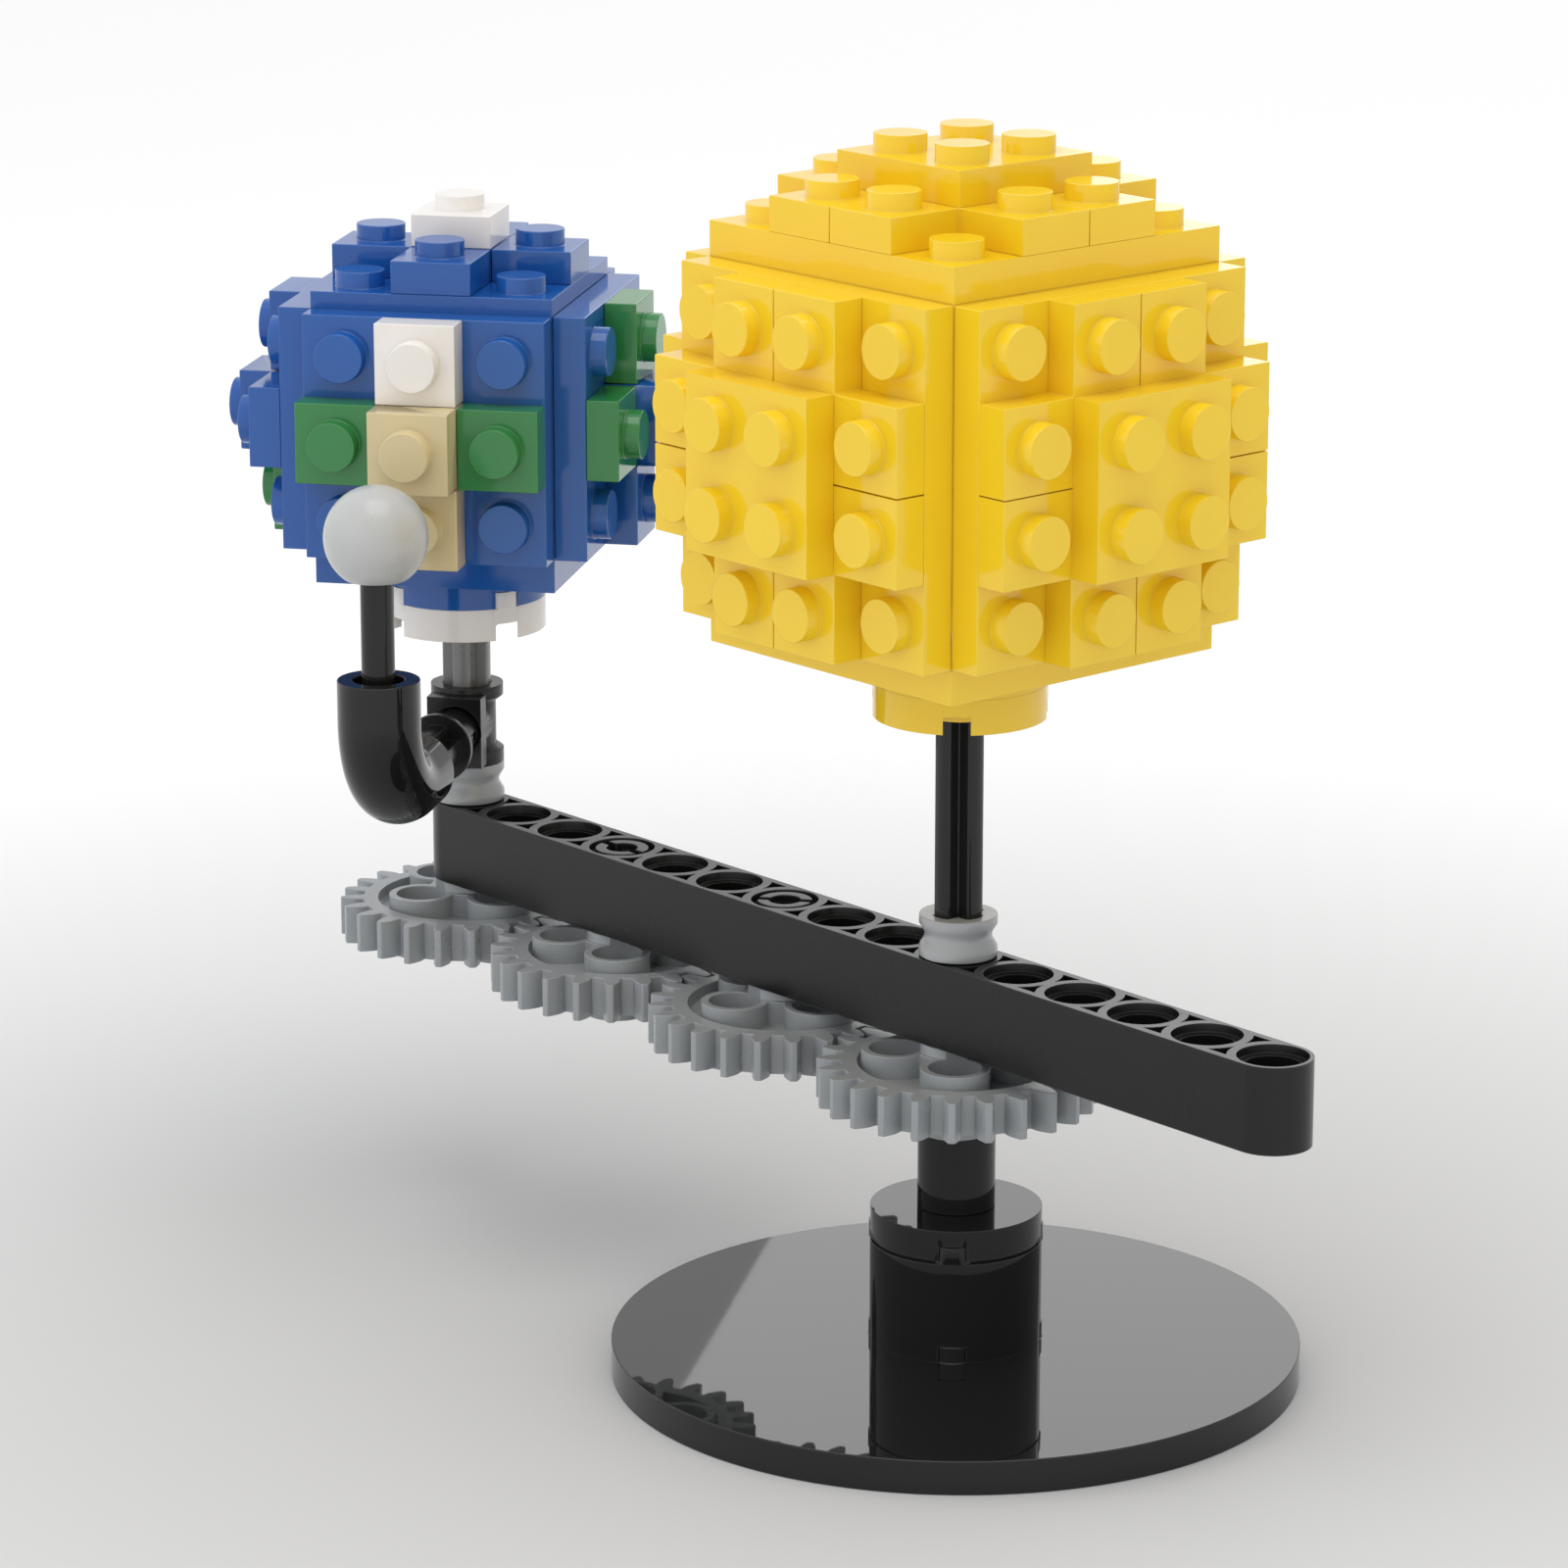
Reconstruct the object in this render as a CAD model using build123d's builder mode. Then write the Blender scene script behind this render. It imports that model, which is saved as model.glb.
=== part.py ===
from build123d import *
from math import acos, cos, hypot, pi, radians, sin, tan
import os

# Orrery made of interlocking bricks. Millimetres, +Z up. The origin is on the underside of the foot,
# on the Sun's axle. The beam lies along X and its free end points to +X.

# ---- the brick system -------------------------------------------------------------------------
PITCH = 8.0                 # distance between neighbouring studs
PLATE = 3.2                 # height of a plate
BRICK = 3 * PLATE           # height of a brick
SEAM = 0.05                 # each piece stops this far short of its grid line
WALL = 1.5                  # side wall of a hollow piece
ROOF = 1.2                  # top wall of a hollow piece
STUD_R = 2.4
STUD_H = 1.6
STUD_SOCKET_R = 2.45        # round hole that takes a stud
TUBE_R = 3.2                # tube under a plate, between four studs
PIN_TUBE_R = 1.55           # thin post under a row of single studs
ROUND_R = PITCH - SEAM      # 2 x 2 round pieces
NOTCH_W = 2.5               # slots in the foot of a round piece, on its diagonals
NOTCH_H = STUD_H + 0.05
HOLE_R = 2.45               # round hole that an axle or a pin turns in

# ---- cross axles ------------------------------------------------------------------------------
AXLE_R = 2.38
AXLE_ARM = 1.8              # thickness of each arm of the cross
CROSS_R = 2.43
CROSS_ARM = 1.9             # cross hole that grips the axle

# ---- foot and column --------------------------------------------------------------------------
BASE_R = 4 * PITCH - SEAM
BASE_RIM = 1.6
BASE_ROOF = 1.4
BASE_TUBE_STEPS = 3         # rows of tubes on each side of the foot's middle
BRICK_Z = PLATE             # the column stands on the foot
TILE_Z = BRICK_Z + BRICK
SPACER_Z = TILE_Z + PLATE
SPACER_R = 3.6
TILE_GROOVE = 0.3           # width and depth of the groove round a tile's foot

# ---- gears and beam ---------------------------------------------------------------------------
GEAR_Z = SPACER_Z + PITCH   # each level of the mechanism is one pitch tall
BEAM_Z = GEAR_Z + PITCH
BUSH_Z = BEAM_Z + PITCH
FACE_GAP = 0.1              # clearance between faces that turn past each other
TEETH = 24
MODULE = 1.0
PRESSURE_ANGLE = 20.0
TOOTH_THINNING = 0.16       # backlash, taken off the thickness of each tooth
FLANK_STEPS = 4             # spans in the curve of a tooth's flank
GEAR_TIP_R = 12.95
GEAR_ROOT_R = 10.7
GEAR_FACE = 3.8
GEAR_WEB = 1.6
GEAR_RIM_INNER_R = 9.2
GEAR_TUBE_H = 6.0
GEAR_TUBE_PLACE = PITCH / 2
GEAR_HUB = 7.8
GEAR_COLLAR_R = 3.5
TOOTH_PITCH = 360 / TEETH
HALF_STEP_TURN = 2.5 * TOOTH_PITCH      # turn of the gears that show a gap along the beam
GEAR_SPACING = 3 * PITCH

BEAM_HOLES = 15
BEAM_WIDTH = 7.2
SUN_HOLE = 10               # hole number, counted from the Earth's end
BEAM_CENTRE_X = ((BEAM_HOLES + 1) / 2 - SUN_HOLE) * PITCH
COUNTERBORE_R = 3.2
COUNTERBORE_DEPTH = 0.8
BEAM_POCKET_DEPTH = 2.6
BEAM_SKIN = 0.75            # long side walls
BEAM_RING_R = 4.05          # solid ring left round each hole

PIN_LIP_R = 2.6
PIN_BORE_R = 1.5
PIN_SLOT = 0.8
PIN_COLLAR_R = 3.1
PIN_COLLAR_H = 0.75

BUSH_H = 3.9
BUSH_R = 3.6
BUSH_WAIST_R = 2.95
BUSH_LIP = 0.85

# ---- Sun --------------------------------------------------------------------------------------
SUN_AXLE_Z = 4.8
SUN_AXLE_LENGTH = 8 * PITCH
SUN_STUDS = 4
SUN_CORE_Z = 72.3           # underside of the cube inside the Sun
SUN_HALF = SUN_STUDS * PITCH / 2

# ---- Earth ------------------------------------------------------------------------------------
EARTH_X = -3 * GEAR_SPACING
EARTH_AXLE_LENGTH = 5 * PITCH
EARTH_STUDS = 3
EARTH_CORE_Z = 67.5         # underside of the block inside the Earth
EARTH_HALF = EARTH_STUDS * PITCH / 2
EARTH_CORE_H = BRICK + 4 * PLATE

# ---- Moon -------------------------------------------------------------------------------------
MOON_DIRECTION = -53.4      # direction of the Moon's arm from the Earth's axle, in degrees from +X
MOON_REACH = 31.5           # from the Earth's axle to the Moon's bar
MOON_PIN_Z = BUSH_Z + PITCH
CONNECTOR_FLANGE = 1.2
CONNECTOR_NECK_R = 2.85
CONNECTOR_NECK_TAPER = 0.6
SOCKET_FACE = 5.1           # face of the socket block, from the Earth's axle
SOCKET_BLOCK = (5.5, 2.0, 7.1)
SOCKET_FLOOR = 2.8
SOCKET_RIM_R = 2.7          # recess around the socket's mouth
SOCKET_RIM_DEPTH = 0.8
MOON_PIN_COLLAR_END = 11.4
MOON_PIN_COLLAR_R = 3.4
MOON_PIN_COLLAR_H = 0.75
MOON_PIN_LENGTH = 24.0
MOON_PIN_SLOT = (0.9, 1.6)
ELBOW_R = 3.95
ELBOW_BEND_R = PITCH
ELBOW_STUB = PITCH / 2
ELBOW_SOCKET_DEPTH = 2.0
BAR_R = 1.59
BAR_SOCKET_R = 1.62
BAR_Z = 54.0
BAR_LENGTH = 20.0
BALL_R = 4.95
BALL_Z = 73.7
BALL_FLAT_Z = 69.7


# ---- sections that several pieces share -------------------------------------------------------
def cross_section(radius, arm):
    """Plus-shaped section of an axle, or of the hole that takes it."""
    with BuildSketch() as cross:
        Rectangle(2 * radius, arm)
        Rectangle(arm, 2 * radius)
        Circle(radius, mode=Mode.INTERSECT)
    return cross.sketch


AXLE_SECTION = cross_section(AXLE_R, AXLE_ARM)
CROSS_HOLE_SECTION = cross_section(CROSS_R, CROSS_ARM)


def axle(length):
    """Cross axle standing on the XY plane."""
    with BuildPart() as rod:
        add(extrude(AXLE_SECTION, amount=length))
    return rod.part


def hollow_box(studs_x, studs_y, height):
    """Plate or brick with studs on top, a hollow underside, and tubes or posts between the studs."""
    depth = height - ROOF
    size_x = studs_x * PITCH - 2 * SEAM
    size_y = studs_y * PITCH - 2 * SEAM
    with BuildPart() as block:
        with BuildSketch():
            Rectangle(size_x, size_y)
        extrude(amount=height)
        with BuildSketch():
            Rectangle(size_x - 2 * WALL, size_y - 2 * WALL)
        extrude(amount=depth, mode=Mode.SUBTRACT)
        if min(studs_x, studs_y) > 1:
            with BuildSketch():
                with GridLocations(PITCH, PITCH, studs_x - 1, studs_y - 1):
                    Circle(TUBE_R)
                    Circle(STUD_SOCKET_R, mode=Mode.SUBTRACT)
            extrude(amount=depth)
        elif max(studs_x, studs_y) > 1:
            with BuildSketch():
                with GridLocations(PITCH, PITCH, max(studs_x - 1, 1), max(studs_y - 1, 1)):
                    Circle(PIN_TUBE_R)
            extrude(amount=depth)
        with BuildSketch(Plane.XY.offset(height)):
            with GridLocations(PITCH, PITCH, studs_x, studs_y):
                Circle(STUD_R)
        extrude(amount=STUD_H)
    return block.part


def corner_plate():
    """L-shaped plate over three cells. The XY origin is the inner corner of its missing fourth cell."""
    outer = PITCH - SEAM
    with BuildPart() as plate:
        with BuildSketch() as outline:
            Rectangle(2 * outer, 2 * outer)
            with Locations((PITCH / 2, PITCH / 2)):
                Rectangle(PITCH + 2 * SEAM, PITCH + 2 * SEAM, mode=Mode.SUBTRACT)
        extrude(amount=PLATE)
        with BuildSketch():
            Rectangle(2 * (outer - WALL), 2 * (outer - WALL))
            with Locations((PITCH / 2, PITCH / 2)):
                Rectangle(PITCH + 2 * (SEAM + WALL), PITCH + 2 * (SEAM + WALL), mode=Mode.SUBTRACT)
        extrude(amount=PLATE - ROOF, mode=Mode.SUBTRACT)
        with BuildSketch(Plane.XY.offset(PLATE)):
            with Locations((-PITCH / 2, -PITCH / 2), (PITCH / 2, -PITCH / 2), (-PITCH / 2, PITCH / 2)):
                Circle(STUD_R)
        extrude(amount=STUD_H)
    return plate.part


def side_stud_brick(studs, sides):
    """Brick one stud deep and several long, with studs on its top and on the named sides."""
    blank = hollow_box(studs, 1, BRICK)
    stud_height = BRICK - PITCH / 2
    with BuildPart() as brick:
        add(blank)
        for side in sides:
            reach = PITCH / 2 if side in ("front", "back") else studs * PITCH / 2
            count = studs if side in ("front", "back") else 1
            with BuildSketch(face_plane(side, reach - SEAM, stud_height)):
                with GridLocations(PITCH, PITCH, count, 1):
                    Circle(STUD_R)
            extrude(amount=STUD_H + SEAM)
    return brick.part


def face_plane(side, distance, height=0.0):
    """Plane of a vertical face at a distance from the Z axis, facing outward, with its Y axis up."""
    outward = {
        "front": (0, -1),
        "right": (1, 0),
        "back": (0, 1),
        "left": (-1, 0),
    }[side]
    return Plane(
        origin=(distance * outward[0], distance * outward[1], height),
        x_dir=(-outward[1], outward[0], 0),
        z_dir=(outward[0], outward[1], 0),
    )


def round_piece(height, studs, centre_hole):
    """2 x 2 round plate, brick or tile: hollow below, with slots on the diagonals of its foot."""
    with BuildPart() as piece:
        with BuildSketch():
            Circle(ROUND_R)
        extrude(amount=height)
        with BuildSketch():
            Circle(ROUND_R - WALL)
            Circle(TUBE_R, mode=Mode.SUBTRACT)
        extrude(amount=height - ROOF, mode=Mode.SUBTRACT)
        with BuildSketch():
            with GridLocations(PITCH, PITCH, 2, 2):
                Circle(STUD_SOCKET_R)
            with PolarLocations(ROUND_R, 4, start_angle=45):
                Rectangle(2 * WALL, NOTCH_W)
            Circle(TUBE_R, mode=Mode.SUBTRACT)
        extrude(amount=NOTCH_H, mode=Mode.SUBTRACT)
        if studs:
            with BuildSketch(Plane.XY.offset(height)):
                with GridLocations(PITCH, PITCH, 2, 2):
                    Circle(STUD_R)
            extrude(amount=STUD_H)
        extrude(centre_hole, amount=height, mode=Mode.SUBTRACT)
    return piece.part


def tooth_outline():
    """One involute gear tooth that points along +X, from inside the root circle to the tip circle."""
    pitch_r = MODULE * TEETH / 2
    base_r = pitch_r * cos(radians(PRESSURE_ANGLE))
    pressure = radians(PRESSURE_ANGLE)
    half_angle = pi / (2 * TEETH) - TOOTH_THINNING / (2 * pitch_r) + tan(pressure) - pressure

    def flank(radius, side):
        turn = acos(min(1.0, base_r / radius))
        angle = side * (half_angle - (tan(turn) - turn))
        return (radius * cos(angle), radius * sin(angle))

    rise = (GEAR_TIP_R - base_r) / FLANK_STEPS
    radii = [base_r + rise * step for step in range(FLANK_STEPS + 1)]
    foot_r = GEAR_ROOT_R - GEAR_WEB / 2
    foot = foot_r * sin(half_angle)
    with BuildSketch() as tooth:
        with BuildLine():
            lower = Spline(*[flank(radius, -1) for radius in radii])
            upper = Spline(*[flank(radius, 1) for radius in radii])
            Line(lower @ 1, upper @ 1)
            Polyline(lower @ 0, (foot_r, -foot), (foot_r, foot), upper @ 0)
        make_face()
    return tooth.sketch


TOOTH = tooth_outline()


def gear():
    """24-tooth gear one pitch tall, its teeth in the middle, with four tubes round a square hub."""
    middle = PITCH / 2
    with BuildPart() as wheel:
        with BuildSketch(Plane.XY.offset(middle - GEAR_FACE / 2)):
            Circle(GEAR_ROOT_R)
            with PolarLocations(0, TEETH):
                add(TOOTH)
            Circle(GEAR_RIM_INNER_R, mode=Mode.SUBTRACT)
        extrude(amount=GEAR_FACE)
        with BuildSketch(Plane.XY.offset(middle - GEAR_WEB / 2)):
            Circle(GEAR_RIM_INNER_R + WALL / 2)
        extrude(amount=GEAR_WEB)
        with BuildSketch(Plane.XY.offset(middle - GEAR_TUBE_H / 2)):
            Rectangle(GEAR_HUB, GEAR_HUB)
            with GridLocations(2 * GEAR_TUBE_PLACE, 2 * GEAR_TUBE_PLACE, 2, 2):
                Circle(TUBE_R)
        extrude(amount=GEAR_TUBE_H)
        with BuildSketch(Plane.XY.offset(FACE_GAP)):
            Circle(GEAR_COLLAR_R)
        extrude(amount=PITCH - 2 * FACE_GAP)
        with BuildSketch():
            with GridLocations(2 * GEAR_TUBE_PLACE, 2 * GEAR_TUBE_PLACE, 2, 2):
                Circle(STUD_SOCKET_R)
            add(CROSS_HOLE_SECTION)
        extrude(amount=PITCH, mode=Mode.SUBTRACT)
    return wheel.part


def half_bush():
    """Half bush: a short grooved sleeve that grips an axle."""
    with BuildPart() as bush:
        with BuildSketch(Plane.XZ):
            with BuildLine():
                Polyline(
                    (BUSH_WAIST_R, BUSH_H / 2),
                    (BUSH_R, BUSH_H - BUSH_LIP),
                    (BUSH_R, BUSH_H),
                    (0, BUSH_H),
                    (0, 0),
                    (BUSH_R, 0),
                    (BUSH_R, BUSH_LIP),
                    close=True,
                )
            make_face()
        revolve(axis=Axis.Z)
        waist = bush.edges().filter_by(GeomType.CIRCLE).group_by(SortBy.RADIUS)[0]
        fillet(waist, radius=BUSH_LIP)
        extrude(CROSS_HOLE_SECTION, amount=BUSH_H, mode=Mode.SUBTRACT)
    return bush.part


def axle_pin():
    """Axle pin: a cross end below, a round slotted end above, and a collar between them."""
    top = 2 * PITCH - SEAM
    with BuildPart() as pin:
        add(axle(PITCH))
        with BuildSketch(Plane.XY.offset(PITCH)):
            Circle(PIN_COLLAR_R)
        extrude(amount=PIN_COLLAR_H)
        with BuildSketch(Plane.XY.offset(PITCH)):
            Circle(AXLE_R)
        extrude(amount=PITCH - SEAM)
        with BuildSketch(Plane.XY.offset(top - PIN_COLLAR_H)):
            Circle(PIN_LIP_R)
        extrude(amount=PIN_COLLAR_H)
        with BuildSketch(Plane.XY.offset(top)):
            Circle(PIN_BORE_R)
            Rectangle(2 * PIN_LIP_R, PIN_SLOT)
        extrude(amount=-PITCH / 2, mode=Mode.SUBTRACT)
    return pin.part


def placed(shape, x=0.0, y=0.0, z=0.0, turn=0.0):
    """Copy of a shape, turned about Z and moved."""
    return shape.moved(Location((x, y, z), (0, 0, turn)))


def save(shape, node):
    """Label one node and write its STEP file."""
    shape.label = node
    export_step(shape, "parts/" + node + ".step")


def save_group(shapes, node):
    """Write several separate pieces that share one node."""
    save(Compound(children=shapes), node)


# ---- foot and column --------------------------------------------------------------------------
def make_foot_and_column():
    cavity = PLATE - BASE_ROOF
    tube_reach = BASE_R - BASE_RIM - TUBE_R
    offsets = [step * PITCH for step in range(-BASE_TUBE_STEPS, BASE_TUBE_STEPS + 1)]
    tubes = [(x, y) for x in offsets for y in offsets if 0 < hypot(x, y) < tube_reach]
    with BuildPart() as foot:
        with BuildSketch():
            Circle(BASE_R)
        extrude(amount=PLATE)
        with BuildSketch():
            Circle(BASE_R - BASE_RIM)
        extrude(amount=cavity, mode=Mode.SUBTRACT)
        with BuildSketch():
            with Locations(*tubes):
                Circle(TUBE_R)
                Circle(STUD_SOCKET_R, mode=Mode.SUBTRACT)
            Circle(TUBE_R)
        extrude(amount=cavity)
        with BuildSketch(Plane.XY.offset(PLATE)):
            with GridLocations(PITCH, PITCH, 2, 2):
                Circle(STUD_R)
        extrude(amount=STUD_H)
    save(foot.part, "base_tile")

    save(placed(round_piece(BRICK, True, CROSS_HOLE_SECTION), z=BRICK_Z), "column_brick")
    with BuildSketch() as round_hole:
        Circle(HOLE_R)
    with BuildPart() as tile:
        add(round_piece(PLATE, False, round_hole.sketch))
        with BuildSketch():
            Circle(ROUND_R)
            Circle(ROUND_R - TILE_GROOVE, mode=Mode.SUBTRACT)
        extrude(amount=TILE_GROOVE, mode=Mode.SUBTRACT)
    save(placed(tile.part, z=TILE_Z), "column_tile")
    with BuildPart() as spacer:
        with BuildSketch(Plane.XY.offset(SPACER_Z)):
            Circle(SPACER_R)
            Circle(HOLE_R, mode=Mode.SUBTRACT)
        extrude(amount=PITCH)
    save(spacer.part, "column_spacer")
    save(placed(axle(SUN_AXLE_LENGTH), z=SUN_AXLE_Z), "sun_axle")
    save(placed(gear(), z=GEAR_Z), "sun_gear")
    save(placed(half_bush(), z=BUSH_Z + FACE_GAP), "sun_bush")


# ---- a brick-built planet's outer plates ------------------------------------------------------
def sides_of_planet(half, core_height, side_centre):
    """Frame of each outer face: origin at its middle on the core, +Z outward."""
    frames = {side: face_plane(side, half, side_centre) for side in ("front", "right", "back", "left")}
    frames["top"] = Plane.XY.offset(core_height)
    return frames


def on_face(frame, shape, x=0.0, y=0.0, rise=0.0, turn=0.0):
    """Copy of a shape standing on a face frame."""
    return placed(shape, x, y, rise, turn).moved(frame.location)


def make_sun():
    for name, level in (("lower", 2), ("upper", 1)):
        z = SUN_CORE_Z - PLATE - level * PLATE
        plate = round_piece(PLATE, True, CROSS_HOLE_SECTION)
        save(placed(plate, z=z), "sun_round_plate_" + name)

    square = hollow_box(SUN_STUDS, SUN_STUDS, PLATE)
    save(placed(square, z=SUN_CORE_Z - PLATE), "sun_bottom_plate")
    storey = 2 * PLATE + BRICK
    plate_levels = [0, PLATE, storey, storey + PLATE]
    brick_levels = [2 * PLATE, storey + 2 * PLATE]
    save_group([placed(square, z=SUN_CORE_Z + z) for z in plate_levels], "sun_core_plates")

    long_brick = side_stud_brick(SUN_STUDS, ["front"])
    short_brick = side_stud_brick(SUN_STUDS // 2, ["front"])
    centre_brick = hollow_box(2, 2, BRICK)
    row = SUN_HALF - PITCH / 2
    long_bricks = []
    short_bricks = []
    for z in brick_levels:
        for turn in (0, 180):
            y = -row if turn == 0 else row
            long_bricks.append(placed(long_brick, y=y, z=SUN_CORE_Z + z, turn=turn))
            short_bricks.append(placed(short_brick, x=-y, z=SUN_CORE_Z + z, turn=turn + 90))
    save_group(long_bricks, "sun_long_side_bricks")
    save_group(short_bricks, "sun_short_side_bricks")
    save_group([placed(centre_brick, z=SUN_CORE_Z + z) for z in brick_levels], "sun_centre_bricks")

    corner = corner_plate()
    cap = hollow_box(2, 2, PLATE)
    frames = sides_of_planet(SUN_HALF, 2 * SUN_HALF, SUN_HALF)
    for side, frame in frames.items():
        face = placed(square).moved(frame.location)
        save(placed(face, z=SUN_CORE_Z), "sun_" + side + "_plate")
        corners = []
        for index in range(4):
            turn = 90 * index
            spot = Vector(PITCH, PITCH).rotate(Axis.Z, turn + 180)
            piece = on_face(frame, corner, spot.X, spot.Y, PLATE, turn + 180)
            corners.append(placed(piece, z=SUN_CORE_Z))
        save_group(corners, "sun_" + side + "_corner_plates")
        save(placed(on_face(frame, cap, rise=2 * PLATE), z=SUN_CORE_Z), "sun_" + side + "_cap_plate")


# ---- arm --------------------------------------------------------------------------------------
def make_arm():
    span = (BEAM_HOLES - 1) * PITCH
    with BuildPart() as beam:
        with BuildSketch(Plane.XY.offset(BEAM_Z)):
            with Locations((BEAM_CENTRE_X, 0)):
                SlotCenterToCenter(span, BEAM_WIDTH)
        extrude(amount=PITCH)
        for floor, depth in ((BEAM_Z, BEAM_POCKET_DEPTH), (BEAM_Z + PITCH, -BEAM_POCKET_DEPTH)):
            with BuildSketch(Plane.XY.offset(floor)):
                with Locations((BEAM_CENTRE_X, 0)):
                    Rectangle(span, BEAM_WIDTH - 2 * BEAM_SKIN)
                    with GridLocations(PITCH, PITCH, BEAM_HOLES, 1):
                        Circle(BEAM_RING_R, mode=Mode.SUBTRACT)
            extrude(amount=depth, mode=Mode.SUBTRACT)
        for floor, depth in ((BEAM_Z, COUNTERBORE_DEPTH), (BEAM_Z + PITCH, -COUNTERBORE_DEPTH)):
            with BuildSketch(Plane.XY.offset(floor)):
                with Locations((BEAM_CENTRE_X, 0)):
                    with GridLocations(PITCH, PITCH, BEAM_HOLES, 1):
                        Circle(COUNTERBORE_R)
            extrude(amount=depth, mode=Mode.SUBTRACT)
        with BuildSketch(Plane.XY.offset(BEAM_Z)):
            with Locations((BEAM_CENTRE_X, 0)):
                with GridLocations(PITCH, PITCH, BEAM_HOLES, 1):
                    Circle(HOLE_R)
        extrude(amount=PITCH, mode=Mode.SUBTRACT)
    save(beam.part, "beam")

    for name, step, turn in (("inner", 1, HALF_STEP_TURN), ("outer", 2, 0.0)):
        x = -step * GEAR_SPACING
        save(placed(gear(), x, z=GEAR_Z, turn=turn), name + "_idler_gear")
        save(placed(axle_pin(), x, z=GEAR_Z, turn=turn), name + "_idler_pin")


# ---- Earth ------------------------------------------------------------------------------------
# colour of each 1 x 1 plate on a face: top, left, middle, right and bottom of the cross, then the cap
EARTH_COLOURS = {
    "top": ("blue", "blue", "blue", "blue", "blue", "white"),
    "front": ("white", "green", "tan", "green", "tan", "tan"),
    "right": ("green", "green", "blue", "green", "blue", "blue"),
    "back": ("white", "blue", "green", "green", "blue", "green"),
    "left": ("blue", "blue", "blue", "blue", "green", "blue"),
}
CROSS_CELLS = ((0, 1), (-1, 0), (0, 0), (1, 0), (0, -1))


def on_earth(shape):
    """Copy of a shape moved from the Earth's own frame to its place over the beam."""
    return placed(shape, EARTH_X, turn=HALF_STEP_TURN)


def make_earth():
    save(on_earth(placed(gear(), z=GEAR_Z)), "earth_gear")
    save(on_earth(placed(axle(EARTH_AXLE_LENGTH), z=GEAR_Z)), "earth_axle")
    save(on_earth(placed(half_bush(), z=BUSH_Z + FACE_GAP)), "earth_bush")
    for name, level in (("white", 3), ("blue", 2)):
        plate = round_piece(PLATE, True, CROSS_HOLE_SECTION)
        save(on_earth(placed(plate, z=EARTH_CORE_Z - level * PLATE)), "earth_" + name + "_round_plate")

    square = hollow_box(EARTH_STUDS, EARTH_STUDS, PLATE)
    save(on_earth(placed(square, z=EARTH_CORE_Z - PLATE)), "earth_bottom_plate")
    plate_levels = [0, PLATE, 2 * PLATE + BRICK, 3 * PLATE + BRICK]
    save_group([on_earth(placed(square, z=EARTH_CORE_Z + z)) for z in plate_levels], "earth_core_plates")

    brick_z = EARTH_CORE_Z + 2 * PLATE
    corner_brick = side_stud_brick(1, ["front", "right"])
    side_brick = side_stud_brick(1, ["front"])
    corner_bricks = []
    side_bricks = []
    for index in range(4):
        turn = 90 * index
        corner_spot = Vector(PITCH, -PITCH).rotate(Axis.Z, turn)
        side_spot = Vector(0, -PITCH).rotate(Axis.Z, turn)
        corner_bricks.append(on_earth(placed(corner_brick, corner_spot.X, corner_spot.Y, brick_z, turn)))
        side_bricks.append(on_earth(placed(side_brick, side_spot.X, side_spot.Y, brick_z, turn)))
    save_group(corner_bricks, "earth_corner_bricks")
    save_group(side_bricks, "earth_side_bricks")
    save(on_earth(placed(hollow_box(1, 1, BRICK), z=brick_z)), "earth_centre_brick")

    single = hollow_box(1, 1, PLATE)
    coloured = {"blue": [], "green": [], "tan": [], "white": []}
    frames = sides_of_planet(EARTH_HALF, EARTH_CORE_H, EARTH_HALF)
    for side, frame in frames.items():
        face = placed(square).moved(frame.location)
        save(on_earth(placed(face, z=EARTH_CORE_Z)), "earth_" + side + "_plate")
        for (column, row), colour in zip(CROSS_CELLS, EARTH_COLOURS[side]):
            piece = on_face(frame, single, column * PITCH, row * PITCH, PLATE)
            coloured[colour].append(on_earth(placed(piece, z=EARTH_CORE_Z)))
        cap = on_face(frame, single, rise=2 * PLATE)
        coloured[EARTH_COLOURS[side][-1]].append(on_earth(placed(cap, z=EARTH_CORE_Z)))
    for colour, pieces in coloured.items():
        save_group(pieces, "earth_" + colour + "_squares")


# ---- Moon -------------------------------------------------------------------------------------
# The Moon's pieces are drawn with the arm along +X from the Earth's axle, then turned into place.
def on_moon_arm(shape):
    """Copy of a shape turned to the Moon's direction and moved to the Earth's axle."""
    return placed(shape, EARTH_X, turn=MOON_DIRECTION)


def arm_plane(distance):
    """Plane across the arm at a distance from the Earth's axle, facing outward."""
    return Plane(origin=(distance, 0, MOON_PIN_Z), x_dir=(0, 1, 0), z_dir=(1, 0, 0))


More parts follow.
